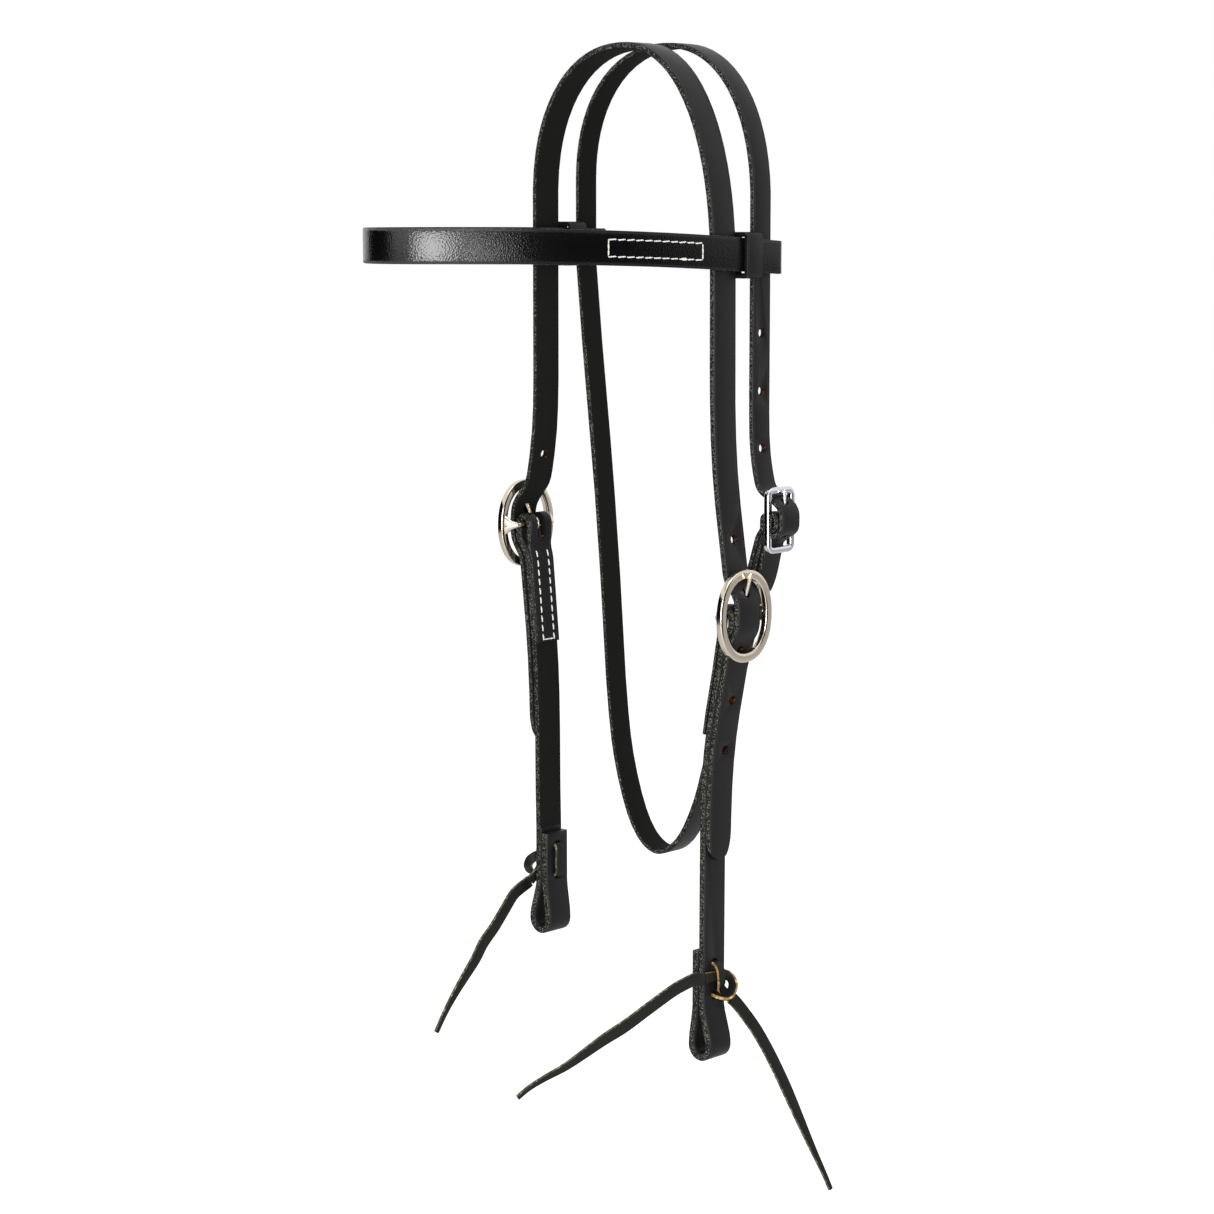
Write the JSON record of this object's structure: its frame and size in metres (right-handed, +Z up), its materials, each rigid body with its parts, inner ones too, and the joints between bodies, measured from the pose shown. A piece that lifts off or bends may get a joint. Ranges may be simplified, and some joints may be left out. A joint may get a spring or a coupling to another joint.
{
  "type": "western headstall",
  "caption": "Black leather western browband headstall with throatlatch, two oval cheek buckles, a rectangular throat buckle and laced bit ties.",
  "frame": {"origin": "underside of the crown strap at its crest, where it rests on the poll", "axes": "+Z up, +X to the near side of the head, +Y back along the head from the browband"},
  "size_m": [0.2073, 0.2448, 0.5881],
  "materials": {
    "black_leather": "black dyed bridle leather, low sheen, rough cut edges",
    "thong_leather": "black latigo lacing with raw golden edges",
    "warm_nickel": "polished warm nickel plate",
    "bright_chrome": "bright chrome plate",
    "white_thread": "heavy white waxed thread"
  },
  "bodies": {
    "straps": {"crown_strap": "black_leather", "throatlatch": "black_leather", "near_cheek_piece": "black_leather", "off_cheek_piece": "black_leather", "near_tie": "thong_leather", "off_tie": "thong_leather", "near_tie_front_tail": "thong_leather", "near_tie_back_tail": "thong_leather", "off_tie_front_tail": "thong_leather", "off_tie_back_tail": "thong_leather", "near_cheek_buckle_frame": "warm_nickel", "off_cheek_buckle_frame": "warm_nickel", "throatlatch_buckle_frame": "bright_chrome", "near_cheek_stitching": "white_thread", "off_cheek_stitching": "white_thread", "throatlatch_stitching": "white_thread"},
    "browband": {"browband": "black_leather", "near_browband_keeper": "black_leather", "off_browband_keeper": "black_leather", "near_browband_stitching": "white_thread", "off_browband_stitching": "white_thread"},
    "near_cheek_tongue": {"near_cheek_buckle_tongue": "warm_nickel"},
    "off_cheek_tongue": {"off_cheek_buckle_tongue": "warm_nickel"},
    "throat_tongue": {"throatlatch_buckle_tongue": "bright_chrome"}
  },
  "joints": [
    {"name": "browband_slide", "type": "slide", "parent": "straps", "child": "browband", "axis": [0, 0, 1], "range_m": [-0.015, 0.01]},
    {"name": "near_cheek_tongue_hinge", "type": "hinge", "parent": "straps", "child": "near_cheek_tongue", "pos_m": [0.069, 0, -0.277], "axis": [0, 1, 0], "range_deg": [0, 4]},
    {"name": "off_cheek_tongue_hinge", "type": "hinge", "parent": "straps", "child": "off_cheek_tongue", "pos_m": [-0.0698, 0, -0.242], "axis": [0, -1, 0], "range_deg": [0, 4]},
    {"name": "throat_tongue_hinge", "type": "hinge", "parent": "straps", "child": "throat_tongue", "pos_m": [0.072, 0.03, -0.232], "axis": [0, 1, 0], "range_deg": [0, 4]}
  ]
}
